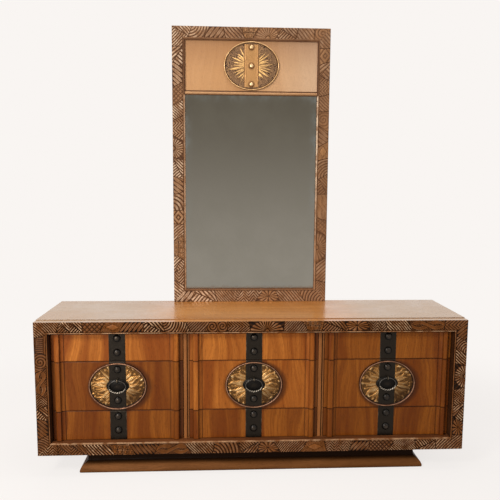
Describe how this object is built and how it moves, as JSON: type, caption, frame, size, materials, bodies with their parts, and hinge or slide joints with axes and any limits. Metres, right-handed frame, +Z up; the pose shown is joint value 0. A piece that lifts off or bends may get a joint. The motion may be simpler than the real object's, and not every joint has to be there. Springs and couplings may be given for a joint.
{
  "type": "dresser with mirror",
  "caption": "Low wide chest of drawers with a carved frame, oval medallions and iron straps, on a flared plinth, with a tall framed mirror standing at its back.",
  "frame": {"origin": "on the floor, at the middle of the width and of the whole depth, from the carved face to the back of the mirror supports", "axes": "+Z up, +X to the right of someone who faces the drawers, +Y to the back; the drawers open towards -Y"},
  "size_m": [1.98, 0.476, 2.132],
  "materials": {
    "back_board": "plain hardboard, matte",
    "carved_wood": "carved, dark stain with rubbed pale highlights, satin",
    "case_wood": "stained and lacquered walnut-coloured veneer, satin, sun-faded",
    "dark_bead": "dark stained bead, satin",
    "drawer_wood": "stained and lacquered walnut-coloured veneer, satin",
    "gilt": "bronze-gilt paint, rubbed, with dark recesses",
    "header_brass": "brass-coloured, with a dark patina in the ground",
    "header_veneer": "pale veneer, satin",
    "inner_wood": "unstained secondary wood, matte",
    "iron": "blackened, satin",
    "mirror_glass": "silvered float glass, slightly aged",
    "plinth_wood": "stained and lacquered, satin",
    "screw_steel": "zinc plated"
  },
  "bodies": {
    "case": {"plinth_front_board": "plinth_wood", "plinth_ends": "plinth_wood", "plinth_back_board": "plinth_wood", "case_bottom": "inner_wood", "case_top": "case_wood", "case_back_board": "back_board", "case_left_side": "case_wood", "case_right_side": "case_wood", "partitions": "inner_wood", "frame_top_rail": "carved_wood", "frame_bottom_rail": "carved_wood", "frame_left_stile": "carved_wood", "frame_right_stile": "carved_wood", "dust_boards": "inner_wood", "drawer_guides": "inner_wood", "mirror_top_rail": "carved_wood", "mirror_bottom_rail": "carved_wood", "mirror_left_stile": "carved_wood", "mirror_right_stile": "carved_wood", "mirror_cross_rail": "dark_bead", "mirror_glass": "mirror_glass", "header_panel": "header_veneer", "mirror_backboard": "back_board", "header_medallion": "header_brass", "header_strap": "header_brass", "mirror_supports": "inner_wood", "support_screws": "screw_steel"},
    "bottom_drawer_left": {"bottom_drawer_left_front": "drawer_wood", "bottom_drawer_left_box": "inner_wood", "bottom_drawer_left_strap": "iron"},
    "bottom_drawer_centre": {"bottom_drawer_centre_front": "drawer_wood", "bottom_drawer_centre_box": "inner_wood", "bottom_drawer_centre_strap": "iron"},
    "bottom_drawer_right": {"bottom_drawer_right_front": "drawer_wood", "bottom_drawer_right_box": "inner_wood", "bottom_drawer_right_strap": "iron"},
    "middle_drawer_left": {"middle_drawer_left_front": "drawer_wood", "middle_drawer_left_box": "inner_wood", "middle_drawer_left_strap": "iron", "medallion_left": "gilt"},
    "middle_drawer_centre": {"middle_drawer_centre_front": "drawer_wood", "middle_drawer_centre_box": "inner_wood", "middle_drawer_centre_strap": "iron", "medallion_centre": "gilt"},
    "middle_drawer_right": {"middle_drawer_right_front": "drawer_wood", "middle_drawer_right_box": "inner_wood", "middle_drawer_right_strap": "iron", "medallion_right": "gilt"},
    "top_drawer_left": {"top_drawer_left_front": "drawer_wood", "top_drawer_left_box": "inner_wood", "top_drawer_left_strap": "iron"},
    "top_drawer_centre": {"top_drawer_centre_front": "drawer_wood", "top_drawer_centre_box": "inner_wood", "top_drawer_centre_strap": "iron"},
    "top_drawer_right": {"top_drawer_right_front": "drawer_wood", "top_drawer_right_box": "inner_wood", "top_drawer_right_strap": "iron"},
    "ring_pull_left": {"ring_pull_left": "iron"},
    "ring_pull_centre": {"ring_pull_centre": "iron"},
    "ring_pull_right": {"ring_pull_right": "iron"}
  },
  "joints": [
    {"name": "bottom_drawer_left_slide", "type": "slide", "parent": "case", "child": "bottom_drawer_left", "axis": [0, -1, 0], "range_m": [0, 0.29]},
    {"name": "bottom_drawer_centre_slide", "type": "slide", "parent": "case", "child": "bottom_drawer_centre", "axis": [0, -1, 0], "range_m": [0, 0.29]},
    {"name": "bottom_drawer_right_slide", "type": "slide", "parent": "case", "child": "bottom_drawer_right", "axis": [0, -1, 0], "range_m": [0, 0.29]},
    {"name": "middle_drawer_left_slide", "type": "slide", "parent": "case", "child": "middle_drawer_left", "axis": [0, -1, 0], "range_m": [0, 0.29]},
    {"name": "middle_drawer_centre_slide", "type": "slide", "parent": "case", "child": "middle_drawer_centre", "axis": [0, -1, 0], "range_m": [0, 0.29]},
    {"name": "middle_drawer_right_slide", "type": "slide", "parent": "case", "child": "middle_drawer_right", "axis": [0, -1, 0], "range_m": [0, 0.29]},
    {"name": "top_drawer_left_slide", "type": "slide", "parent": "case", "child": "top_drawer_left", "axis": [0, -1, 0], "range_m": [0, 0.29]},
    {"name": "top_drawer_centre_slide", "type": "slide", "parent": "case", "child": "top_drawer_centre", "axis": [0, -1, 0], "range_m": [0, 0.29]},
    {"name": "top_drawer_right_slide", "type": "slide", "parent": "case", "child": "top_drawer_right", "axis": [0, -1, 0], "range_m": [0, 0.29]},
    {"name": "ring_pull_left_swing", "type": "hinge", "parent": "middle_drawer_left", "child": "ring_pull_left", "pos_m": [-0.627, -0.22, 0.4505], "axis": [-1, 0, 0], "range_deg": [0, 165]},
    {"name": "ring_pull_centre_swing", "type": "hinge", "parent": "middle_drawer_centre", "child": "ring_pull_centre", "pos_m": [0, -0.22, 0.4505], "axis": [-1, 0, 0], "range_deg": [0, 165]},
    {"name": "ring_pull_right_swing", "type": "hinge", "parent": "middle_drawer_right", "child": "ring_pull_right", "pos_m": [0.627, -0.22, 0.4505], "axis": [-1, 0, 0], "range_deg": [0, 165]}
  ]
}
